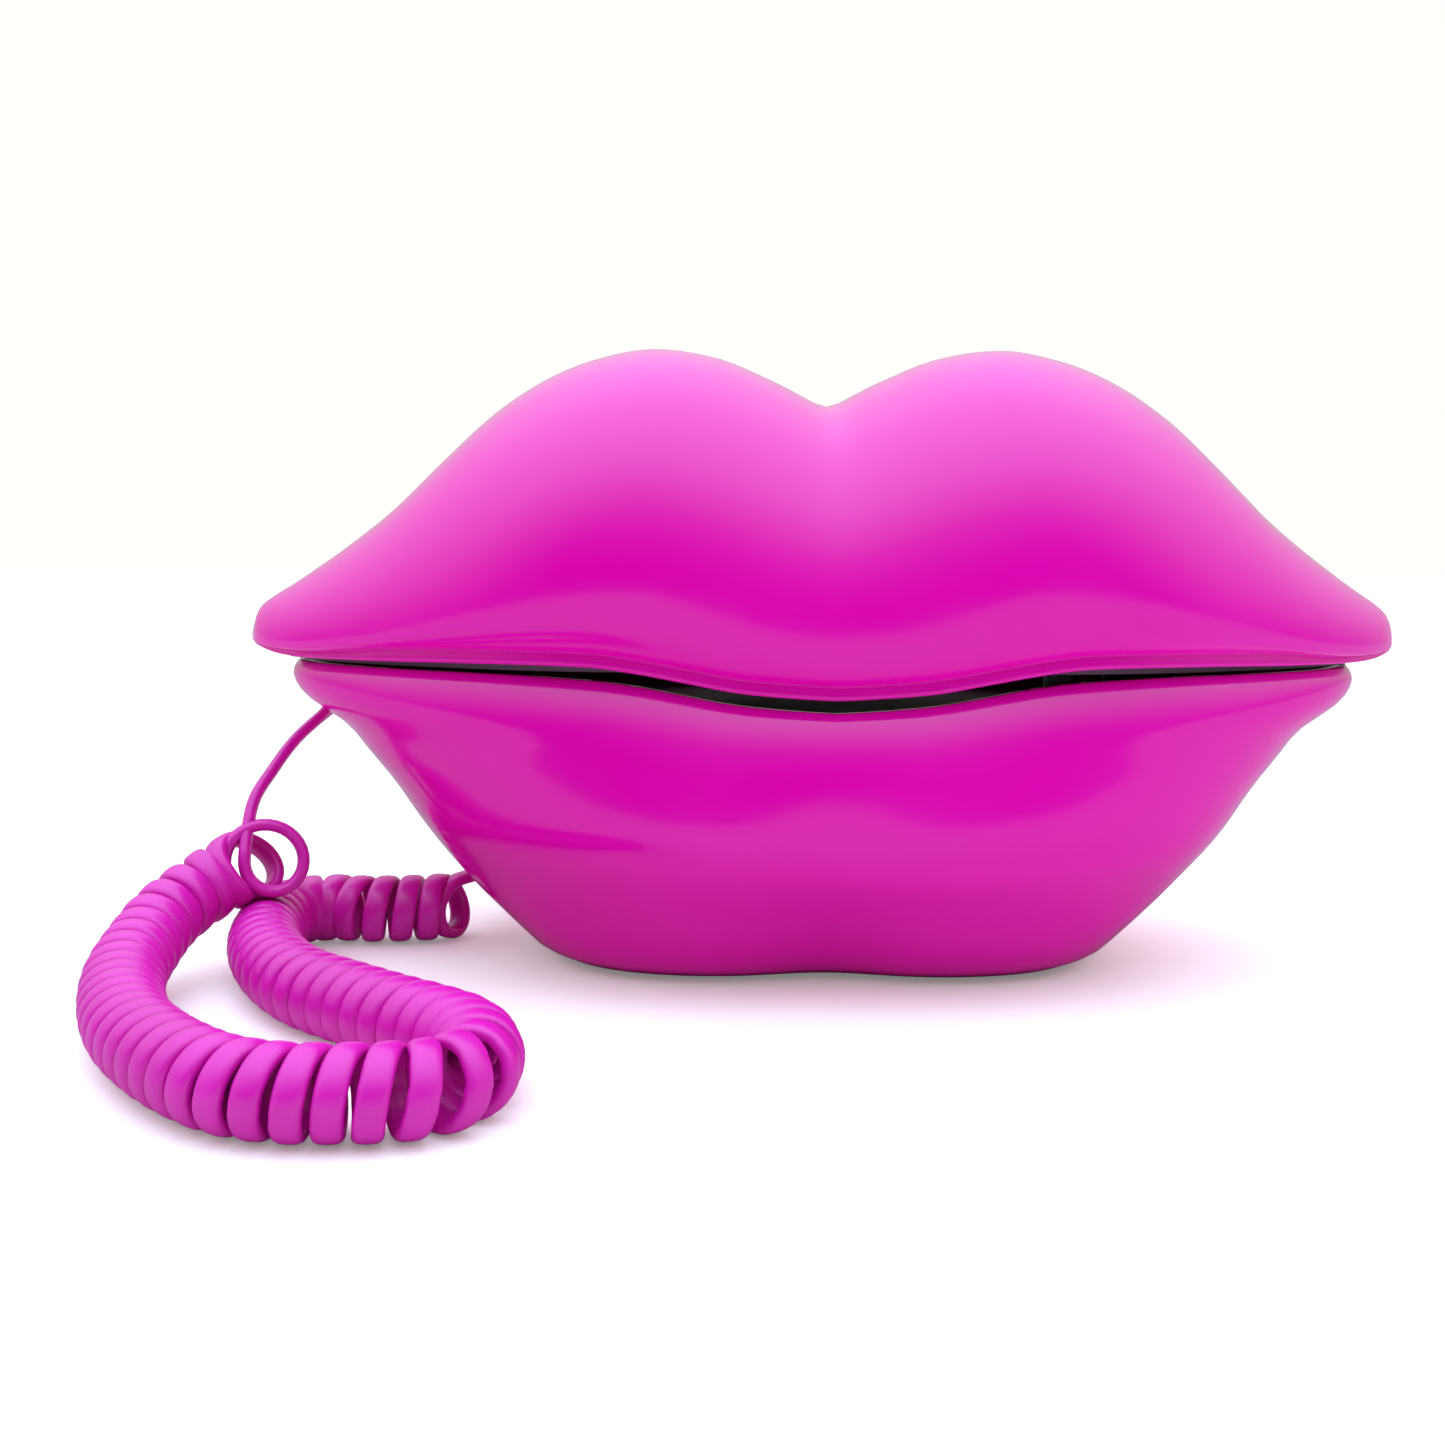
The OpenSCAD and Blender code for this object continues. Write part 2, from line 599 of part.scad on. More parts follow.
// centre line of the curly part, from the base's end to the handset's end
COIL_ROUTE = [[-71, 4.5, 6.7], [-75.5, 2.6, 6.7], [-81, 1.3, 6.7], [-89, 0.5, 6.7], [-97, 1.5, 6.7],
    [-103, -2, 6.7], [-104.5, -10, 6.7], [-102, -24, 6.7], [-96, -38, 6.7], [-87.5, -50, 6.7],
    [-77.5, -58.5, 6.7], [-68.5, -65.5, 6.7], [-61.5, -70.5, 6.7], [-56, -75.5, 6.7],
    [-53.3, -81.5, 6.7], [-53.2, -88, 6.7], [-56.5, -93, 6.7], [-62, -95.2, 6.7],
    [-69, -95.8, 6.7], [-77, -95.6, 6.7], [-85, -93, 6.7], [-92.5, -87.5, 6.7],
    [-99.5, -80.5, 6.7], [-106.5, -71.5, 6.7], [-112.5, -60.5, 6.9], [-117, -48.5, 7.8],
    [-118.5, -37, 9.8], [-118, -29, 12.4], [-115.8, -22, 15.4], [-112.3, -17.2, 18.2],
    [-108.5, -13.6, 20.2], [-104.5, -11, 21]];
// straight tail from the curly part to the plug in the base
BASE_TAIL = [[-71, 5.5, 12.5], [-68.5, 11, 13], [-65.5, 18, 10.8], [-62.5, 27, 7.5],
    [-58, 36, 4], [-51, 44, 2.4], [-42, 49.5, 2.3], [-33, 52.5, 3.2], [-25.5, 53, 6.5],
    [-20.5, 50.5, 10.8], [-18.3, 46, 13.6], [-18, 39.8, 14.6]];
// straight tail from the curly part to the plug in the handset
HANDSET_TAIL = [[-107, -13.5, 25], [-107.4, -12, 30], [-105.4, -6, 35.5], [-102.8, 0, 40.5],
    [-99.4, 6, 44.5], [-97.6, 12, 46.6], [-96, 16.5, 45.3], [-93.8, 21.5, 42], [-92, 27, 39],
    [-91, 33, 37.8], [-90, 40, 38.5], [-88.5, 47, 41], [-86, 52.5, 45], [-83, 55, 50.5],
    [-80.8, 54.5, 56.5], [-79, 51.8, 61.5], [-76.8, 47.9, 64.6], [-74.3, 43.2, 65]];

module cord_coil() {
    color(shell_magenta) sweep(COIL_ROUTE, coil_r, 12);
}
module cord_tail_base() {
    color(shell_magenta) sweep(BASE_TAIL, cord_w / 2, 8);
}
module cord_tail_handset() {
    color(shell_magenta) sweep(HANDSET_TAIL, cord_w / 2, 8);
}
module handset_plug() {
    color("#D8D8DC") at_hand_socket() translate([0, -0.4, 1.5]) modular_plug();
}
module base_plug() {
    color("#D8D8DC") translate([base_plug_x, 33 - 0.4, socket_z + 1.5]) modular_plug();
}

handset_shell();
handset_plate();
keypad_mat();
handset_board();
earpiece_capsule();
earpiece_gasket();
microphone_capsule();
microphone_boot();
handset_socket();
handset_screws();
handset_weight();
dial_mode_switch();
dial_mode_slider();
base_shell();
cradle_plate();
cradle_pads();
hook_plunger();
hook_spring();
hook_guide();
hook_switch();
base_board();
board_screws();
ringer();
base_socket();
line_socket();
ringer_switch();
ringer_slider();
base_weight();
bottom_cover();
base_screws();
feet();
handset_plug();
base_plug();
cord_coil();
cord_tail_handset();
cord_tail_base();
for (k = [0:len(KEYS) - 1])
    key(k);
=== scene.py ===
"""Lips telephone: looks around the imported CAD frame. Lengths are in metres unless a name ends in _MM."""
import json
import math

import bpy
import numpy as np
from mathutils import Matrix, Vector


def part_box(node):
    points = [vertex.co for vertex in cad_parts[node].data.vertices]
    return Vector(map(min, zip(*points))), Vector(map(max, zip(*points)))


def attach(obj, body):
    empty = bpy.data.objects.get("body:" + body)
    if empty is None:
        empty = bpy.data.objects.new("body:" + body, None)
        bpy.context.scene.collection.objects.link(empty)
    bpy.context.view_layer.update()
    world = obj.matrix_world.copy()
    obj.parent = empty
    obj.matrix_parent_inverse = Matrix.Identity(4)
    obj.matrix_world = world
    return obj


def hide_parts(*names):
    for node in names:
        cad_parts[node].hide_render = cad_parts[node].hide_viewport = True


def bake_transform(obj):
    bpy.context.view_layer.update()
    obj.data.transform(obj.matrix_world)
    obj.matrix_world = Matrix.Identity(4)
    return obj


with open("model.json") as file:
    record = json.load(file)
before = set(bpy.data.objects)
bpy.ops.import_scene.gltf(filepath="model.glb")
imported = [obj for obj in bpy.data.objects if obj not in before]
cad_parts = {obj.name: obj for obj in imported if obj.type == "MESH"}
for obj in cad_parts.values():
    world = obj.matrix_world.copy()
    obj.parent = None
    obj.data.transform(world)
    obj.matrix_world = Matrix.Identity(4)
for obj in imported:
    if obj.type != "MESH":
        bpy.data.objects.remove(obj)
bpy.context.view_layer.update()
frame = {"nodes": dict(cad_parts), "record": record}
MM = 0.001
NODES = frame["nodes"]
LIFT = "handset"


# ---------------------------------------------------------------- camera
def add_camera():
    data = bpy.data.cameras.new("camera")
    data.lens = 35.0
    data.sensor_width = 36.0
    data.clip_start = 0.01
    cam = bpy.data.objects.new("camera", data)
    cam.location = (-0.019, -0.273, 0.077)
    pitch, roll = math.radians(-6.8), math.radians(0.3)
    cam.rotation_euler = (Matrix.Rotation(math.pi / 2 + pitch, 4, "X") @ Matrix.Rotation(roll, 4, "Z")).to_euler()
    bpy.context.scene.collection.objects.link(cam)
    bpy.context.scene.camera = cam


add_camera()


# ---------------------------------------------------------------- mesh helpers
def link(obj):
    bpy.context.scene.collection.objects.link(obj)
    return obj


def new_mesh(name, verts, faces, smooth=True):
    mesh = bpy.data.meshes.new(name)
    mesh.from_pydata([tuple(v) for v in verts], [], faces)
    mesh.validate()
    if smooth:
        mesh.shade_smooth()
    return link(bpy.data.objects.new(name, mesh))


def applied(obj):
    """Replaces obj's mesh by its mesh with all modifiers applied."""
    graph = bpy.context.evaluated_depsgraph_get()
    mesh = bpy.data.meshes.new_from_object(obj.evaluated_get(graph))
    obj.modifiers.clear()
    old, obj.data = obj.data, mesh
    bpy.data.meshes.remove(old)
    return obj


def cut(obj, cutters):
    """Subtracts the cutter objects from obj and removes them."""
    for cutter in cutters:
        mod = obj.modifiers.new("cut", "BOOLEAN")
        mod.operation = "DIFFERENCE"
        mod.solver = "EXACT"
        mod.object = cutter
    applied(obj)
    for cutter in cutters:
        bpy.data.objects.remove(cutter)
    return obj


def bevel(obj, width, segments=2, angle=35):
    mod = obj.modifiers.new("bevel", "BEVEL")
    mod.width = width
    mod.segments = segments
    mod.limit_method = "ANGLE"
    mod.angle_limit = math.radians(angle)
    mod.harden_normals = False
    return obj


def box_object(name, low, high):
    verts = [(x, y, z) for x in (low[0], high[0]) for y in (low[1], high[1]) for z in (low[2], high[2])]
    faces = [(0, 1, 3, 2), (4, 6, 7, 5), (0, 4, 5, 1), (2, 3, 7, 6), (0, 2, 6, 4), (1, 5, 7, 3)]
    return new_mesh(name, verts, faces, smooth=False)


def grid_faces(rows, cols, close_rows=False, close_cols=False, flip=False):
    faces = []
    for i in range(rows if close_rows else rows - 1):
        for j in range(cols if close_cols else cols - 1):
            a, b = i * cols + j, i * cols + (j + 1) % cols
            c, d = ((i + 1) % rows) * cols + (j + 1) % cols, ((i + 1) % rows) * cols + j
            faces.append((a, d, c, b) if flip else (a, b, c, d))
    return faces


def smooth_at(x, knots):
    """A smooth curve through knots (x, value), read at x."""
    i = 0
    while i < len(knots) - 2 and x >= knots[i + 1][0]:
        i += 1
    last = len(knots) - 1

    def slope(k):
        a, b = knots[max(0, k - 1)], knots[min(last, k + 1)]
        return (b[1] - a[1]) / (b[0] - a[0])

    h = knots[i + 1][0] - knots[i][0]
    t = max(0.0, min(1.0, (x - knots[i][0]) / h))
    a, b, m, n = knots[i][1], knots[i + 1][1], slope(i) * h, slope(i + 1) * h
    return a + t * (m + t * (3 * (b - a) - 2 * m - n + t * (2 * (a - b) + m + n)))


def spline(points, step):
    """Points about step apart on a Catmull-Rom curve through the given points."""
    p = [Vector(q) for q in points]
    out = []
    for i in range(len(p) - 1):
        a, b, c, d = p[max(0, i - 1)], p[i], p[i + 1], p[min(len(p) - 1, i + 2)]
        n = max(1, round((c - b).length / step))
        for j in range(n):
            t = j / n
            out.append(0.5 * (2 * b + (c - a) * t + (2 * a - 5 * b + 4 * c - d) * t * t
                              + (3 * b - a - 3 * c + d) * t ** 3))
    out.append(p[-1])
    return out


# ---------------------------------------------------------------- cord
CORD_WIDTH = 0.0043
CORD_THICK = 0.0023
COIL_RADIUS = 0.0066
# centre line of the curly part, from the base's end to the handset's end (mm)
COIL_ROUTE_MM = [
    (-71, 4.5, 6.7), (-75.5, 2.6, 6.7), (-81, 1.3, 6.7), (-89, 0.5, 6.7), (-97, 1.5, 6.7),
    (-103, -2, 6.7), (-104.5, -10, 6.7), (-102, -24, 6.7), (-96, -38, 6.7), (-87.5, -50, 6.7),
    (-77.5, -58.5, 6.7), (-68.5, -65.5, 6.7), (-61.5, -70.5, 6.7), (-56, -75.5, 6.7),
    (-53.3, -81.5, 6.7), (-53.2, -88, 6.7), (-56.5, -93, 6.7), (-62, -95.2, 6.7),
    (-69, -95.8, 6.7), (-77, -95.6, 6.7), (-85, -93, 6.7), (-92.5, -87.5, 6.7),
    (-99.5, -80.5, 6.7), (-106.5, -71.5, 6.7), (-112.5, -60.5, 6.9), (-117, -48.5, 7.8),
    (-118.5, -37, 9.8), (-118, -29, 12.4), (-115.8, -22, 15.4), (-112.3, -17.2, 18.2),
    (-108.5, -13.6, 20.2), (-104.5, -11, 21)]
# straight tail from the plug in the base to the curly part (mm)
BASE_TAIL_MM = [
    (-18, 39.8, 14.6), (-18.3, 46, 13.6), (-20.5, 50.5, 10.8), (-25.5, 53, 6.5), (-33, 52.5, 3.2),
    (-42, 49.5, 2.3), (-51, 44, 2.4), (-58, 36, 4), (-62.5, 27, 7.5), (-65.5, 18, 10.8)]
# straight tail from the curly part to the plug in the handset (mm)
HANDSET_TAIL_MM = [
    (-107.4, -12, 30), (-105.4, -6, 35.5), (-102.8, 0, 40.5), (-99.4, 6, 44.5), (-97.6, 12, 46.6),
    (-96, 16.5, 45.3), (-93.8, 21.5, 42), (-92, 27, 39), (-91, 33, 37.8), (-90, 40, 38.5),
    (-88.5, 47, 41), (-86, 52.5, 45), (-83, 55, 50.5), (-80.8, 54.5, 56.5), (-79, 51.8, 61.5),
    (-76.8, 47.9, 64.6), (-74.3, 43.2, 65)]
# distance along the curly part (fraction) and the pitch of its turns there
PITCH = [(0, 0.0052), (0.08, 0.0050), (0.15, 0.0044), (0.4, 0.0042), (0.47, 0.0044), (0.52, 0.0050),
         (0.58, 0.0049), (0.64, 0.0044), (0.74, 0.0043), (0.84, 0.0047), (0.95, 0.0048), (1, 0.0056)]
# outward axis of the loose ring at each end
BASE_RING_AXIS = Vector((0.75, -0.66, 0.0))
HANDSET_RING_AXIS = Vector((0.26, -0.94, 0.10))
# how far the handset's ring leans out of the curly part's line
HANDSET_RING_LEAN = Vector((0.0036, -0.0056, 0.0003))
STEPS_PER_TURN = 32
UP = Vector((0, 0, 1))


def metres(points_mm):
    return [Vector(p) * MM for p in points_mm]


def ease(t):
    t = max(0.0, min(1.0, t))
    return t * t * (3 - 2 * t)


def helix():
    """Centre line of the flat cord through all turns, with the coil's axis at each point."""
    axis = spline(metres(COIL_ROUTE_MM), 0.0005)
    run = [0.0]
    for a, b in zip(axis, axis[1:]):
        run.append(run[-1] + (b - a).length)
    total = run[-1]
    turns, s = 0.0, 0.0
    stations = []
    while s < total:
        stations.append((s, turns))
        pitch = smooth_at(s / total, PITCH)
        s += pitch / STEPS_PER_TURN
        turns += 1 / STEPS_PER_TURN
    # the strand leaves the base's ring at its top and the handset's ring at its left
    end_turn = stations[-1][1]
    spare = (end_turn + 0.25) % 1.0
    points, widths = [], []
    k = 0
    for s, turn in stations:
        while k < len(run) - 2 and run[k + 1] < s:
            k += 1
        f = (s - run[k]) / max(1e-9, run[k + 1] - run[k])
        centre = axis[k].lerp(axis[k + 1], f)
        ahead, behind = axis[min(len(axis) - 1, k + 6)], axis[max(0, k - 6)]
        along = (ahead - behind).normalized()
        near_base = 1 - ease(s / 0.009)
        near_hand = 1 - ease((total - s) / 0.018)
        along = (along * (1 - near_base) - BASE_RING_AXIS * near_base).normalized()
        along = (along * (1 - near_hand) + HANDSET_RING_AXIS * near_hand).normalized()
        u = UP.cross(along).normalized()
        v = along.cross(u)
        angle = math.pi / 2 - 2 * math.pi * (turn + spare * ease((turn - 3) / (end_turn - 6)) * -1)
        centre.x += HANDSET_RING_LEAN.x * ease(1 - (total - s) / 0.028)
        centre.y += HANDSET_RING_LEAN.y * ease(1 - (total - s) / 0.0075)
        radius = COIL_RADIUS - CORD_THICK / 2 + 0.0009 * near_hand
        points.append(centre + radius * (math.cos(angle) * u + math.sin(angle) * v))
        widths.append(along)
    return points, widths


def section(width, thick, count=14):
    """Rounded flat outline of the cord, as (across, out) pairs."""
    out = []
    for k in range(count):
        a = 2 * math.pi * (k + 0.5) / count
        c, s = math.cos(a), math.sin(a)
        out.append((width / 2 * math.copysign(abs(c) ** 0.7, c), thick / 2 * math.copysign(abs(s) ** 0.8, s)))
    return out


def sweep_flat(name, path, hints, width, thick):
    outline = section(width, thick)
    verts = []
    last = len(path) - 1
    for i, p in enumerate(path):
        t = (path[min(last, i + 1)] - path[max(0, i - 1)]).normalized()
        w = (hints[i] - t * hints[i].dot(t)).normalized()
        n = t.cross(w)
        verts += [p + w * a + n * b for a, b in outline]
    count = len(outline)
    faces = grid_faces(len(path), count, close_cols=True, flip=True)
    faces.append(tuple(range(count)))
    faces.append(tuple(last * count + k for k in reversed(range(count))))
    return new_mesh(name, verts, faces)


def build_cord():
    turns, axes = helix()
    step = 0.0012
    tail_a = spline(metres(BASE_TAIL_MM) + [turns[0], turns[3]], step)[:-3]
    tail_b = spline([turns[-4], turns[-1]] + metres(HANDSET_TAIL_MM), step)[4:]
    side = Vector((-0.85, -0.3, 0.45)).normalized()
    hints = []
    for i in range(len(tail_a)):
        f = ease(i / (len(tail_a) - 1))
        hints.append((UP * (1 - f) + axes[0] * f).normalized())
    hints += axes
    for i in range(len(tail_b)):
        f = ease((i / len(tail_b) - 0.25) / 0.3)
        hints.append((axes[-1] * (1 - f) + side * f).normalized())
    path = tail_a + turns + tail_b
    cord = sweep_flat("curly_cord", path, hints, CORD_WIDTH, CORD_THICK)
    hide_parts("cord_coil", "cord_tail_base", "cord_tail_handset")
    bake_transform(cord)
    return cord


curly_cord = build_cord()


# ---------------------------------------------------------------- materials
def hex_colour(text):
    """sRGB hex to a linear colour."""
    out = []
    for k in (0, 2, 4):
        c = int(text[k:k + 2], 16) / 255
        out.append(c / 12.92 if c <= 0.04045 else ((c + 0.055) / 1.055) ** 2.4)
    return (*out, 1.0)


class Shader:
    """A principled material with short calls for the nodes that vary it."""

    def __init__(self, name, colour, rough, metallic=0.0):
        self.mat = bpy.data.materials.new(name)
        self.mat.use_nodes = True
        self.tree = self.mat.node_tree
        self.bsdf = self.tree.nodes["Principled BSDF"]
        self.set("Base Color", hex_colour(colour))
        self.set("Roughness", rough)
        self.set("Metallic", metallic)
        self.place = self.add("ShaderNodeTexCoord").outputs["Object"]

    def add(self, kind, **values):
        node = self.tree.nodes.new(kind)
        for key, value in values.items():
            setattr(node, key, value)
        return node

    def set(self, socket, value):
        self.bsdf.inputs[socket].default_value = value
        return self

    def noise(self, scale, detail=3.0, stretch=(1, 1, 1)):
        where = self.add("ShaderNodeMapping")
        where.inputs["Scale"].default_value = stretch
        self.tree.links.new(self.place, where.inputs["Vector"])
        node = self.add("ShaderNodeTexNoise")
        node.inputs["Scale"].default_value = scale
        node.inputs["Detail"].default_value = detail
        self.tree.links.new(where.outputs["Vector"], node.inputs["Vector"])
        return node.outputs["Fac"]

    def spread(self, fac, low, high, start=0.3, stop=0.7):
        node = self.add("ShaderNodeMapRange")
        for key, value in (("From Min", start), ("From Max", stop), ("To Min", low), ("To Max", high)):
            node.inputs[key].default_value = value
        self.tree.links.new(fac, node.inputs["Value"])
        return node.outputs["Result"]

    def tint(self, fac, colour_a, colour_b, start=0.35, stop=0.65):
        """Base colour between two tints, by fac."""
        node = self.add("ShaderNodeMix", data_type="RGBA")
        self.tree.links.new(self.spread(fac, 0, 1, start, stop), node.inputs["Factor"])
        node.inputs["A"].default_value = hex_colour(colour_a)
        node.inputs["B"].default_value = hex_colour(colour_b)
        self.tree.links.new(node.outputs["Result"], self.bsdf.inputs["Base Color"])
        return self

    def rough(self, fac, low, high):
        self.tree.links.new(self.spread(fac, low, high), self.bsdf.inputs["Roughness"])
        return self

    def bump(self, fac, depth, strength=1.0):
        node = self.add("ShaderNodeBump")
        node.inputs["Distance"].default_value = depth
        node.inputs["Strength"].default_value = strength
        before = self.bsdf.inputs["Normal"].links
        if before:
            self.tree.links.new(before[0].from_socket, node.inputs["Normal"])
        self.tree.links.new(fac, node.inputs["Height"])
        self.tree.links.new(node.outputs["Normal"], self.bsdf.inputs["Normal"])
        return self


def lip_plastic():
    s = Shader("lip_plastic", "e005a4", 0.13)
    s.tint(s.noise(14, 2), "df03a2", "e306a7")
    s.rough(s.noise(55, 4), 0.1, 0.15)
    s.bump(s.noise(420, 2), 0.00002, 0.4)
    s.bump(s.noise(60, 1), 0.00008, 0.4)
    return s.mat


def cord_jacket():
    s = Shader("cord_jacket", "cf10a0", 0.4)
    s.tint(s.noise(40, 3), "d010a2", "dc18b0")
    s.rough(s.noise(300, 3), 0.28, 0.38)
    s.bump(s.noise(1400, 3), 0.00002, 0.6)
    s.bump(s.noise(160, 2), 0.00006, 0.5)
    return s.mat


def plate_with_painted_light():
    # painted light: the plate's base colour and tints are lightened from glossy near-black to purple-grey, so that it
    # shows lighter in the shaded gap between the lips
    s = Shader("inner_plate", "5e3f55", 0.45)
    s.tint(s.noise(20, 2), "563a4e", "68485e")
    s.rough(s.noise(45, 5), 0.38, 0.52)
    s.set("Specular IOR Level", 0.25)
    s.bump(s.noise(300, 2), 0.00002, 0.5)
    return s.mat


def moulded(name, colour, other, rough, grain=2200, depth=0.00003):
    s = Shader(name, colour, rough)
    s.tint(s.noise(35, 3), colour, other)
    s.rough(s.noise(500, 3), rough - 0.05, rough + 0.06)
    s.bump(s.noise(grain, 3), depth, 0.8)
    return s.mat


def metal(name, colour, other, rough, stretch=(1, 1, 14)):
    s = Shader(name, colour, rough, 1.0)
    s.tint(s.noise(120, 4), colour, other)
    s.rough(s.noise(700, 4, stretch), rough - 0.08, rough + 0.1)
    s.bump(s.noise(900, 4, stretch), 0.00001, 0.6)
    return s.mat


def circuit_board():
    s = Shader("circuit_board", "145c34", 0.35)
    tracks = s.add("ShaderNodeTexBrick")
    tracks.inputs["Scale"].default_value = 420
    tracks.inputs["Mortar Size"].default_value = 0.06
    s.tree.links.new(s.place, tracks.inputs["Vector"])
    s.tint(tracks.outputs["Fac"], "145c34", "2c8a50", 0.1, 0.9)
    s.bump(tracks.outputs["Fac"], 0.00003)
    return s.mat


def clear_plastic():
    s = Shader("plug_plastic", "dfe6ea", 0.12)
    s.tint(s.noise(200, 2), "dfe6ea", "cfd8de")
    s.set("Transmission Weight", 0.75).set("IOR", 1.49)
    s.bump(s.noise(500, 2), 0.00003, 0.5)
    return s.mat


MATERIALS = {
    "lip_plastic": lip_plastic(),
    "cord_jacket": cord_jacket(),
    "inner_plate": plate_with_painted_light(),
    "cover_plastic": moulded("cover_plastic", "1c1b1f", "232227", 0.55, 1600, 0.00006),
    "rubber": moulded("rubber", "1a1a1b", "242425", 0.78, 3000, 0.00005),
    "circuit_board": circuit_board(),
    "capsule_metal": metal("capsule_metal", "b9bbc0", "a6a8ad", 0.32),
    "socket_plastic": moulded("socket_plastic", "1d1d20", "28282b", 0.42),
    "steel": metal("steel", "b4b6ba", "9b9da2", 0.3),
    "ringer_brass": metal("ringer_brass", "c9a352", "b18a3c", 0.34),
    "white_plastic": moulded("white_plastic", "e4e2dc", "dad8d0", 0.4),
    "key_plastic": moulded("key_plastic", "ece9e4", "e2dfd8", 0.3, 1200),
    "plug_plastic": clear_plastic(),
}
INK = moulded("key_ink", "1b1620", "221c28", 0.45)
GOLD = metal("contact_gold", "e0b456", "caa045", 0.22)


def paint(obj, mat):
    obj.data.materials.clear()
    obj.data.materials.append(mat)
    return obj


paint(curly_cord, MATERIALS["cord_jacket"])
for row in frame["record"]["subparts"]:
    paint(NODES[row["node"]], MATERIALS[row["material_slot"]])


# ---------------------------------------------------------------- shapes of the lips (mm)
HALF_L_MM, HALF_D_MM, HEIGHT_MM, WALL_MM, TIP_MM = 110.0, 48.0, 115.0, 2.3, 2.0
RIM_TUCK = 0.86
FOOT_MM = 0.8
LEDGE_MM = 60.3
CREST = [(0, 0.911), (0.04, 0.934), (0.085, 0.955), (0.168, 0.986), (0.277, 1), (0.377, 0.983), (0.459, 0.952),
         (0.545, 0.9), (0.632, 0.827), (0.723, 0.747), (0.818, 0.68), (0.909, 0.625),
         (0.955, 0.6), (0.982, 0.58), (1, 0.545)]
BULGE = [(0, 0.543), (0.06, 0.547), (0.11, 0.56), (0.19, 0.588), (0.26, 0.613), (0.34, 0.615),
         (0.45, 0.597), (0.56, 0.57), (0.72, 0.538), (0.85, 0.524), (0.95, 0.524), (1, 0.53)]
UPPER_RIM = [(0, 0.461), (0.127, 0.471), (0.209, 0.485), (0.282, 0.498), (0.364, 0.508),
             (0.545, 0.51), (0.75, 0.507), (0.909, 0.508), (1, 0.524)]
UPPER_DEPTH = [(0, 0.98), (0.18, 1), (0.32, 1), (0.455, 0.948), (0.59, 0.833), (0.727, 0.667),
               (0.836, 0.49), (0.918, 0.323), (0.973, 0.17), (1, 0.03)]
LOWER_RIM = [(0, 0.442), (0.127, 0.452), (0.209, 0.465), (0.282, 0.478), (0.364, 0.487),
             (0.545, 0.494), (0.93, 0.496), (1, 0.496)]
LOWER_WIDTH = [(0, 0.468), (0.045, 0.508), (0.1, 0.536), (0.175, 0.575), (0.26, 0.618), (0.37, 0.664),
               (0.48, 0.705), (0.6, 0.75), (0.7, 0.795), (0.79, 0.836), (0.88, 0.905),
               (0.95, 0.927), (1, 0.918)]
LOWER_DEPTH = [(0, 0.52), (0.04, 0.605), (0.12, 0.675), (0.2, 0.715), (0.27, 0.752),
               (0.33, 0.808), (0.39, 0.882), (0.45, 0.95), (0.5, 0.983), (0.55, 0.992),
               (0.62, 0.988), (0.7, 0.978), (0.78, 0.965), (0.85, 0.948), (0.9, 0.93),
               (0.95, 0.903), (1, 0.868)]


def along(x):
    return min(1.0, (math.hypot(x, TIP_MM) - TIP_MM) / (HALF_L_MM - TIP_MM))


def upper_sizes(x):
    """Half depth, crest, bulge and rim heights of the upper lip at x."""
    a = along(x)
    return (HALF_D_MM * smooth_at(a, UPPER_DEPTH), HEIGHT_MM * smooth_at(a, CREST),
            HEIGHT_MM * smooth_at(a, BULGE), HEIGHT_MM * smooth_at(a, UPPER_RIM))


BAND_MM = 2.3
BAND_TUCK = 0.885
FLARE_MM = 0.35


def upper_half(x):
    """Outer surface of the upper lip at x, from the rim to the crest, as (depth, height) pairs."""
    d, top, bulge, rim = upper_sizes(x)
    band = min(BAND_MM, 0.6 * (bulge - rim))
    edge = min(0.5, 0.3 * band, 0.3 * d)
    flare = FLARE_MM * min(1.0, d / 20)
    out = [(BAND_TUCK * d + flare - edge * (1 - math.sin(a)), rim + edge * (1 - math.cos(a)))
           for a in (0, 0.52, 1.05, 1.5708)]
    out += [(BAND_TUCK * d + flare * (1 - f), rim + band * f) for f in (0.55, 0.8, 0.93)]
    for k in range(11):
        a = math.pi / 2 * k / 11
        out.append((d * (BAND_TUCK + (1 - BAND_TUCK) * math.sin(a) ** 0.85),
                    bulge - (bulge - rim - band) * math.cos(a) ** 0.9))
    for k in range(25):
        a = math.pi / 2 * k / 24
        out.append((d * max(0.0, math.cos(a)) ** 0.92, bulge + (top - bulge) * math.sin(a) ** 0.92))
    return out


def upper_inner_half(x):
    """Inner surface of the upper lip at x, from the rim to the crest."""
    d, top, bulge, rim = upper_sizes(x)
    opening = max(0.2 * d, RIM_TUCK * d - WALL_MM)
    wide = max(0.3 * d, d - WALL_MM)
    roof = max(0.3 * (top - rim), top - rim - WALL_MM) + rim
    out = [(opening + 0.3, rim), (opening, rim + 0.3), (opening, min(LEDGE_MM, rim + 0.5 * (roof - rim)))]
    base = max(bulge, LEDGE_MM + 1)
    for k in range(13):
        a = math.pi / 2 * k / 12
        out.append((wide * max(0.0, math.cos(a)) ** 0.92, base + (max(roof, base + 0.2) - base) * math.sin(a) ** 0.92))
    return out


def closed_normals(obj):
    import bmesh
    bm = bmesh.new()
    bm.from_mesh(obj.data)
    bmesh.ops.recalc_face_normals(bm, faces=bm.faces)
    bm.to_mesh(obj.data)
    bm.free()
    return obj


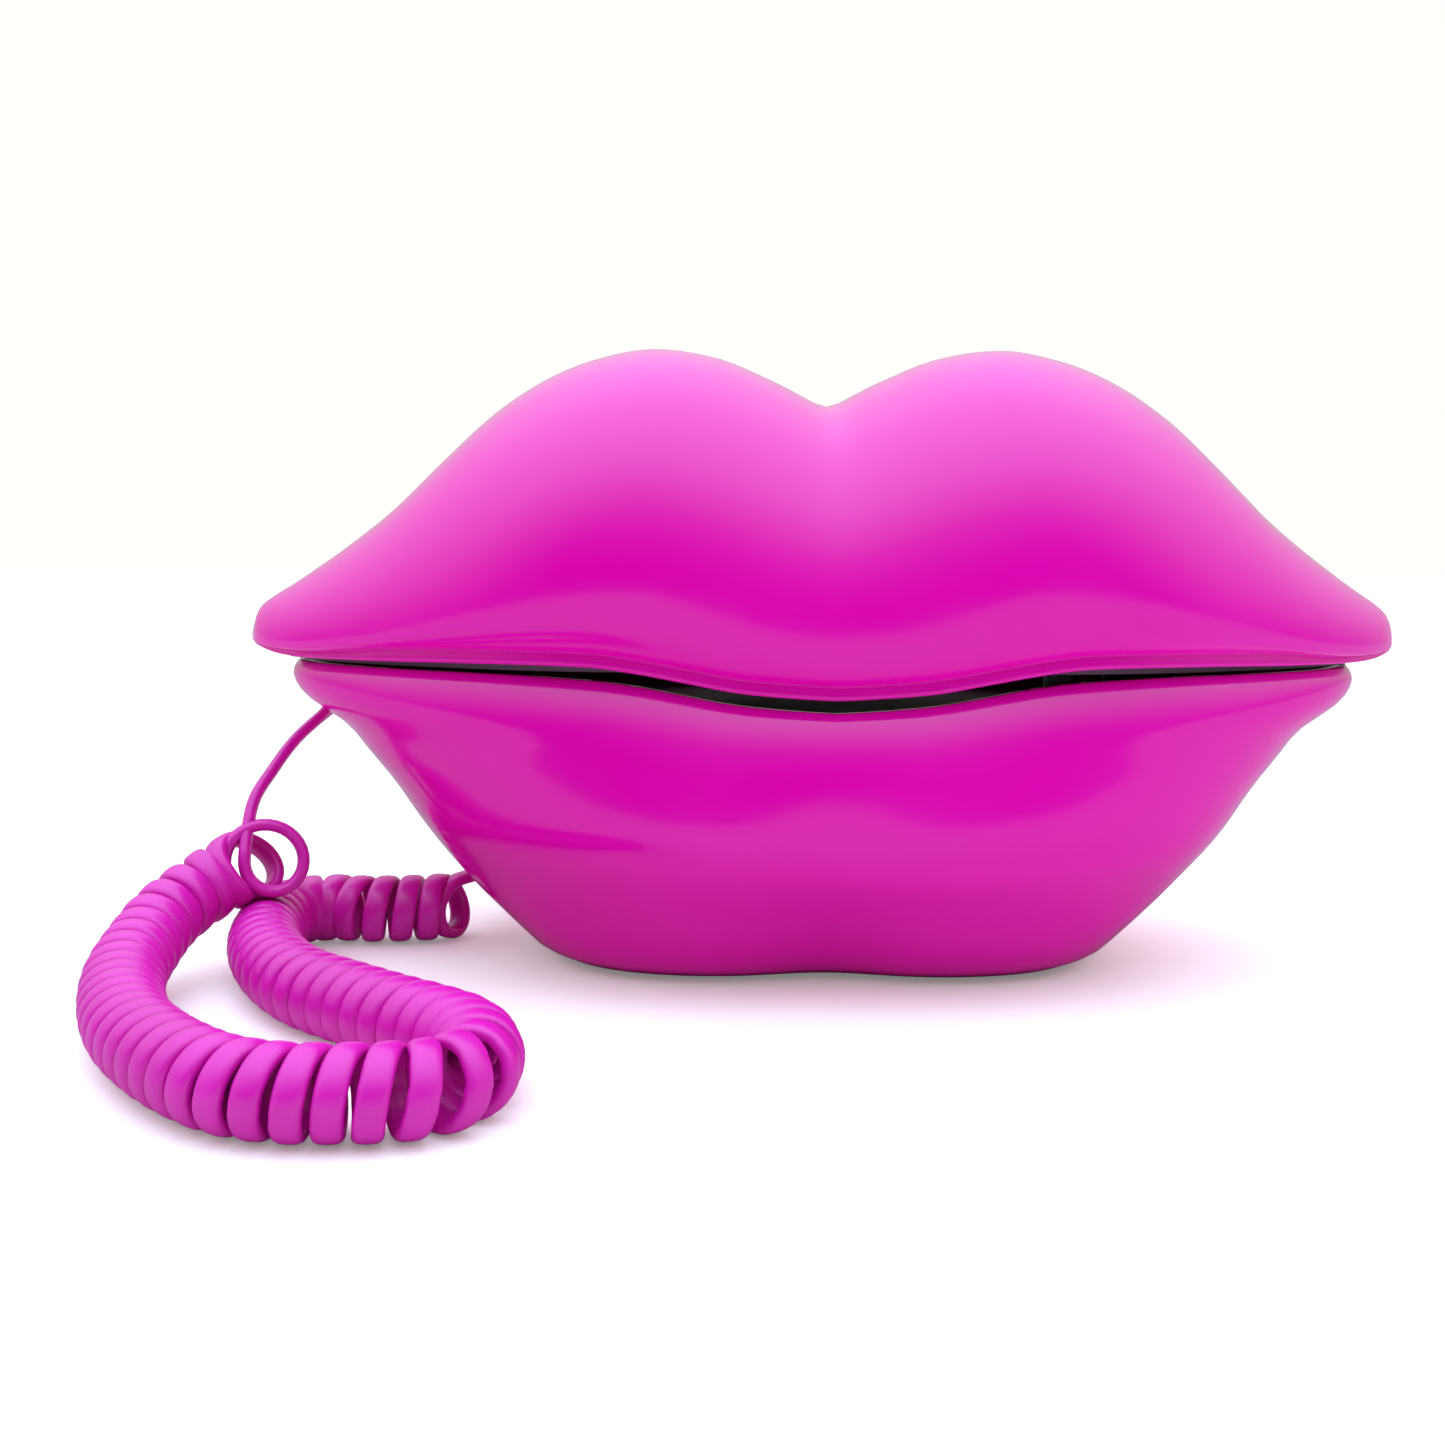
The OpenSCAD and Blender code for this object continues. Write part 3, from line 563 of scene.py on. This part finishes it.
def build_upper_lip(stations=140):
    verts, rows = [], []
    for scale, half in ((1.0, upper_half), ((HALF_L_MM - WALL_MM) / HALF_L_MM, upper_inner_half)):
        start = len(verts)
        for i in range(stations + 1):
            x = HALF_L_MM * math.sin(math.pi * (i / stations - 0.5))
            side = half(x)
            loop = [(-y, z) for y, z in side] + [(y, z) for y, z in reversed(side[:-1])]
            verts += [(x * scale * MM, y * MM, z * MM) for y, z in loop]
        rows.append((start, 2 * len(side) - 1))
    (a0, am), (b0, bm) = rows
    faces = grid_faces(stations + 1, am)
    faces += [tuple(b0 + k for k in f) for f in grid_faces(stations + 1, bm, flip=True)]
    for i in range(stations):
        faces.append((a0 + i * am, a0 + (i + 1) * am, b0 + (i + 1) * bm, b0 + i * bm))
        faces.append((a0 + i * am + am - 1, b0 + i * bm + bm - 1, b0 + (i + 1) * bm + bm - 1,
                      a0 + (i + 1) * am + am - 1))
    for i in (0, stations):
        faces.append(tuple(a0 + i * am + k for k in range(am)))
        faces.append(tuple(b0 + i * bm + k for k in range(bm)))
        faces.append((a0 + i * am, b0 + i * bm, b0 + i * bm + bm - 1, a0 + i * am + am - 1))
    lip = closed_normals(new_mesh("upper_lip", verts, faces))
    low, high = (Vector(c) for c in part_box("handset_socket"))
    turn = math.radians(28)
    window = box_object("window", (-0.006, -0.013, -0.00475), (0.006, 0.011, 0.00525))
    window.matrix_world = Matrix.Translation((-0.071, 0.037, (low.z + high.z) / 2 - 0.0)) @ Matrix.Rotation(turn, 4, "Z")
    bpy.context.view_layer.update()
    cut(lip, [window])
    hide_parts("handset_shell")
    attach(lip, LIFT)
    return paint(lip, MATERIALS["lip_plastic"])


def lower_point(v, turn, inset, straight):
    """Point of the lower lip's wall at height fraction v; straight keeps the hollow's sides upright at the rim."""
    wide, deep = smooth_at(v, LOWER_WIDTH), smooth_at(v, LOWER_DEPTH)
    if straight and v > 0.78:
        wide, deep = min(wide, LOWER_WIDTH[-1][1]), min(deep, LOWER_DEPTH[-1][1])
    w, d = HALF_L_MM * wide - inset, HALF_D_MM * deep - inset
    blend = v * v * (3 - 2 * v)
    p, q = 4.2 - 1.6 * blend, 0.5 + 0.05 * blend
    c, s = math.cos(turn), math.sin(turn)
    x = math.copysign(w * (1 - (1 - abs(c)) ** 1.25), c)
    y = d * max(0.0, 1 - (abs(x) / w) ** p) ** q
    y = max(0.0, y - 3.2 * (1 - v) * math.exp(-(x / 13) ** 2))
    z = FOOT_MM + v * (HEIGHT_MM * smooth_at(along(x), LOWER_RIM) - FOOT_MM)
    return x, math.copysign(y, s) if abs(s) > 1e-9 else 0.0, z


def build_lower_lip(around=160):
    levels = [0, 0.012, 0.03, 0.05] + [0.08 + 0.04 * k for k in range(20)] + [0.87, 0.9, 0.925, 0.95, 0.97, 0.985]
    rows = [(v, 0.0, 0.0, False) for v in levels]
    rows += [(1, 0.0, -0.45, False), (1, 0.2, -0.12, False), (1, 0.55, 0.0, False), (1, 2.0, 0.0, True),
             (1, 2.3, -0.3, True)]
    rows += [(v, WALL_MM, 0.0, True) for v in (0.93, 0.86, 0.79, 0.77, 0.6, 0.45, 0.3, 0.15, 0.05, 0.0)]
    verts = []
    for v, inset, drop, straight in rows:
        for j in range(around):
            x, y, z = lower_point(v, 2 * math.pi * j / around, inset, straight)
            verts.append((x * MM, y * MM, (z + drop) * MM))
    faces = grid_faces(len(rows), around, close_rows=True, close_cols=True)
    lip = closed_normals(new_mesh("lower_lip", verts, faces))
    windows = []
    for node, gap in (("base_socket", 0.0003), ("line_socket", 0.0003)):
        low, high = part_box(node)
        windows.append(box_object("window", (low[0] - gap, 0.02, low[2] - gap), (high[0] + gap, 0.06, high[2] + gap)))
    windows.append(box_object("window", (0.0286, 0.02, 0.0146), (0.0354, 0.06, 0.0172)))
    cut(lip, windows)
    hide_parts("base_shell")
    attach(lip, "base")
    return paint(lip, MATERIALS["lip_plastic"])


upper_lip = build_upper_lip()
lower_lip = build_lower_lip()


# ---------------------------------------------------------------- small parts
def join_meshes(name, meshes):
    """One object from several (verts, faces) pairs."""
    verts, faces = [], []
    for v, f in meshes:
        base = len(verts)
        verts += [tuple(p) for p in v]
        faces += [tuple(base + k for k in face) for face in f]
    return new_mesh(name, verts, faces)


def lathe(profile, centre, segments=40):
    """Closed turned body: profile is (radius, z) pairs from one end of its axis to the other."""
    verts = []
    for r, z in profile:
        for k in range(segments):
            a = 2 * math.pi * k / segments
            verts.append((centre[0] + r * math.cos(a), centre[1] + r * math.sin(a), centre[2] + z))
    faces = grid_faces(len(profile), segments, close_cols=True)
    faces.append(tuple(range(segments)))
    faces.append(tuple((len(profile) - 1) * segments + k for k in range(segments)))
    return verts, faces


def ring(radius, wire, centre, major=64, minor=10):
    verts = []
    for i in range(major):
        a = 2 * math.pi * i / major
        for k in range(minor):
            b = 2 * math.pi * k / minor
            r = radius + wire * math.cos(b)
            verts.append((centre[0] + r * math.cos(a), centre[1] + r * math.sin(a), centre[2] + wire * math.sin(b)))
    return verts, grid_faces(major, minor, close_rows=True, close_cols=True)


def build_screws(node, places_mm, head_mm, head_r_mm, shank_mm, body):
    """Pan-head screws seen from below, each with a cross recess."""
    solids, recesses = [], []
    for x, y in places_mm:
        centre = (x * MM, y * MM, head_mm * MM)
        r = head_r_mm
        profile = [(0.55 * r, 0), (0.82 * r, 0.1), (0.97 * r, 0.4), (r, 0.75), (r, 1.2), (1.15, 1.2), (1.15, shank_mm)]
        solids.append(lathe([(p * MM, z * MM) for p, z in profile], centre))
        for wide, deep in ((1.5, 0.34), (0.34, 1.5)):
            recesses.append(box_object("recess", (centre[0] - wide * MM, centre[1] - deep * MM, centre[2] - 0.001),
                                       (centre[0] + wide * MM, centre[1] + deep * MM, centre[2] + 0.00075)))
    screws = closed_normals(join_meshes(node + "_cross", solids))
    cut(screws, recesses)
    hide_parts(node)
    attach(screws, body)
    bevel(screws, 0.00008, 1)
    return paint(screws, MATERIALS["steel"])


def ride_piece(obj, slot, body, mat=None):
    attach(obj, body)
    return paint(obj, mat or MATERIALS[slot])


KEY_MARKS = {"1": "1", "2": "2", "3": "3", "4": "4", "5": "5", "6": "6", "7": "7", "8": "8", "9": "9",
             "star": "*", "0": "0", "hash": "#", "redial": ">", "mute": "x", "flash": "="}
KEY_PITCH_MM = 12.0
KEY_FACE_MM = 55.0


def build_key_marks():
    """Printed signs on the keys' faces, read from below with the earpiece at the top."""
    for k, (key, sign) in enumerate(KEY_MARKS.items()):
        curve = bpy.data.curves.new("sign", "FONT")
        curve.body = sign
        curve.size = 0.0062 if sign != "*" else 0.0078
        curve.align_x = "CENTER"
        curve.align_y = "CENTER"
        curve.extrude = 0.00006
        curve.resolution_u = 3
        text = link(bpy.data.objects.new("sign", curve))
        bpy.context.view_layer.update()
        mesh = bpy.data.meshes.new_from_object(text.evaluated_get(bpy.context.evaluated_depsgraph_get()))
        bpy.data.objects.remove(text)
        xs, ys = [v.co.x for v in mesh.vertices], [v.co.y for v in mesh.vertices]
        mid = Vector(((min(xs) + max(xs)) / 2, (min(ys) + max(ys)) / 2, 0))
        cx, cy = (k // 3 - 2) * KEY_PITCH_MM * MM, (1 - k % 3) * KEY_PITCH_MM * MM
        for v in mesh.vertices:
            p = v.co - mid
            v.co = (cx - p.y, cy - p.x, KEY_FACE_MM * MM - p.z)
        sign_obj = link(bpy.data.objects.new("sign_" + key, mesh))
        ride_piece(sign_obj, "key_plastic", "key_" + key, INK)


def build_contacts():
    """Spring wires in the mouth of the wall-line socket."""
    wires = []
    for k in range(4):
        x = 0.012 + (k - 1.5) * 0.00125
        path = [Vector((x, 0.0316, 0.0178)), Vector((x, 0.0298, 0.0179)), Vector((x, 0.027, 0.0165)),
                Vector((x, 0.0235, 0.0148))]
        verts = []
        for i, p in enumerate(path):
            t = (path[min(i + 1, 3)] - path[max(i - 1, 0)]).normalized()
            up = Vector((1, 0, 0)).cross(t)
            for j in range(8):
                a = 2 * math.pi * j / 8
                verts.append(p + 0.00022 * (math.cos(a) * Vector((1, 0, 0)) + math.sin(a) * up))
        faces = grid_faces(4, 8, close_cols=True)
        faces += [tuple(range(8)), tuple(24 + j for j in range(8))]
        wires.append((verts, faces))
    ride_piece(closed_normals(join_meshes("line_contacts", wires)), "ringer_brass", "base", GOLD)


build_screws("handset_screws", [(x, y) for x in (-54, 54) for y in (-20, 20)], 57.6, 2.9, 10, LIFT)
build_screws("base_screws", [(x, y) for x in (-36, 36) for y in (-12, 12)], 1.7, 2.8, 9, "base")
build_key_marks()
build_contacts()
ride_piece(closed_normals(join_meshes("earpiece_rim", [ring(0.0078, 0.0004, (-0.076, 0, 0.05745))])),
           "inner_plate", LIFT)
ride_piece(closed_normals(join_meshes("microphone_rim", [ring(0.0030, 0.0003, (0.080, 0, 0.05742))])),
           "inner_plate", LIFT)

# ends of the handset's plate in the corners of the mouth
for side in (-1, 1):
    tip = [(side * x * MM, y * w * MM, z * MM) for z in (57.6, 59.8) for x, w in ((95.5, 13), (98, 11), (100.5, 8.5))
           for y in (-1, 1)]
    faces = [(0, 1, 3, 2), (2, 3, 5, 4), (6, 8, 9, 7), (8, 10, 11, 9), (0, 2, 8, 6), (2, 4, 10, 8),
             (1, 7, 9, 3), (3, 9, 11, 5), (4, 5, 11, 10), (0, 6, 7, 1)]
    ride_piece(closed_normals(new_mesh("plate_tip", tip, faces, smooth=False)), "inner_plate", LIFT)

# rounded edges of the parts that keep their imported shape
EDGE_MM = {"handset_plate": 0.35, "cradle_plate": 0.4, "cradle_pads": 0.35, "bottom_cover": 0.35, "feet": 0.5,
           "hook_plunger": 0.2, "ringer_slider": 0.25, "dial_mode_slider": 0.2, "handset_socket": 0.3,
           "base_socket": 0.3, "line_socket": 0.3, "handset_plug": 0.3, "base_plug": 0.3, "ringer_switch": 0.2,
           "dial_mode_switch": 0.2, "base_weight": 0.4, "handset_weight": 0.4, "hook_guide": 0.3,
           "hook_switch": 0.2, "keypad_mat": 0.2, "handset_board": 0.1, "base_board": 0.1, "ringer": 0.2,
           "earpiece_capsule": 0.3, "microphone_capsule": 0.2, "earpiece_gasket": 0.2, "microphone_boot": 0.2,
           "board_screws": 0.1}
for node, width in EDGE_MM.items():
    bevel(NODES[node], width * MM)
for key in KEY_MARKS:
    bevel(NODES["key_" + key], 0.0005, 3)


# ---------------------------------------------------------------- surroundings
def camera_ray(tree):
    return tree.nodes.new("ShaderNodeLightPath").outputs["Is Camera Ray"]


def add_floor():
    """Pale floor, overexposed to the camera as on a product shot, so that its shadows stay faint."""
    floor = new_mesh("floor", [(-6, -6, 0), (6, -6, 0), (6, 6, 0), (-6, 6, 0)], [(0, 1, 2, 3)], smooth=False)
    s = Shader("floor_white", "f8f7ec", 0.6)
    s.rough(s.noise(40, 2), 0.55, 0.65)
    s.set("Specular IOR Level", 0.1)
    # the floor is grey in glossy rays only: painted shade on its reflection in the lips
    dim = s.add("ShaderNodeMix", data_type="RGBA")
    dim.inputs["A"].default_value = hex_colour("f8f7ec")
    dim.inputs["B"].default_value = hex_colour("9a9a94")
    s.tree.links.new(s.add("ShaderNodeLightPath").outputs["Is Glossy Ray"], dim.inputs["Factor"])
    s.tree.links.new(dim.outputs["Result"], s.bsdf.inputs["Base Color"])
    s.set("Emission Color", (1, 1, 1, 1))
    gain = s.add("ShaderNodeMath", operation="MULTIPLY")
    gain.inputs[1].default_value = FLOOR_GLOW
    s.tree.links.new(camera_ray(s.tree), gain.inputs[0])
    s.tree.links.new(gain.outputs["Value"], s.bsdf.inputs["Emission Strength"])
    paint(floor, s.mat)


def ramp(tree, value, start, stop, low=0.0, high=1.0):
    node = tree.nodes.new("ShaderNodeMapRange")
    for key, number in (("From Min", start), ("From Max", stop), ("To Min", low), ("To Max", high)):
        node.inputs[key].default_value = number
    tree.links.new(value, node.inputs["Value"])
    return node.outputs["Result"]


def calc(tree, operation, *values):
    node = tree.nodes.new("ShaderNodeMath")
    node.operation = operation
    for socket, value in zip(node.inputs, values):
        if hasattr(value, "links"):
            tree.links.new(value, socket)
        else:
            socket.default_value = value
    return node.outputs["Value"]


def add_world():
    """White backdrop for the camera. The light is soft from above and the sides, and dark low in front."""
    world = bpy.data.worlds.new("studio")
    world.use_nodes = True
    tree = world.node_tree
    axes = tree.nodes.new("ShaderNodeSeparateXYZ")
    tree.links.new(tree.nodes.new("ShaderNodeTexCoord").outputs["Generated"], axes.inputs["Vector"])
    up = calc(tree, "MAXIMUM", axes.outputs["Z"], 0.0)
    front = ramp(tree, axes.outputs["Y"], -0.3, -0.85)
    behind = ramp(tree, axes.outputs["Y"], 0.1, 0.7)
    side_light = calc(tree, "MULTIPLY_ADD", up, 2.2, 0.12)
    front_light = calc(tree, "MULTIPLY", calc(tree, "POWER", up, 2.6), 2.1)
    back_light = calc(tree, "MULTIPLY_ADD", calc(tree, "MULTIPLY", up, up), 1.7, 0.5)
    level = calc(tree, "ADD", side_light, calc(tree, "MULTIPLY", front, calc(tree, "SUBTRACT", front_light, side_light)))
    level = calc(tree, "ADD", level, calc(tree, "MULTIPLY", behind, calc(tree, "SUBTRACT", back_light, side_light)))
    colour = tree.nodes.new("ShaderNodeMix")
    colour.data_type = "RGBA"
    tree.links.new(ramp(tree, up, 0.1, 0.9), colour.inputs["Factor"])
    colour.inputs["A"].default_value = (1.0, 1.0, 0.85, 1)
    colour.inputs["B"].default_value = (0.86, 1.0, 1.3, 1)
    back = tree.nodes["Background"]
    tree.links.new(colour.outputs["Result"], back.inputs["Color"])
    tree.links.new(calc(tree, "MULTIPLY", level, WORLD_GAIN), back.inputs["Strength"])
    seen = tree.nodes.new("ShaderNodeBackground")
    seen.inputs["Color"].default_value = (1.0, 1.0, 0.97, 1)
    mix = tree.nodes.new("ShaderNodeMixShader")
    tree.links.new(camera_ray(tree), mix.inputs["Fac"])
    tree.links.new(back.outputs["Background"], mix.inputs[1])
    tree.links.new(seen.outputs["Background"], mix.inputs[2])
    tree.links.new(mix.outputs["Shader"], tree.nodes["World Output"].inputs["Surface"])
    bpy.context.scene.world = world


FLOOR_GLOW = 0.2
WORLD_GAIN = 1.17
add_floor()
add_world()
bpy.context.scene.view_settings.view_transform = "Standard"
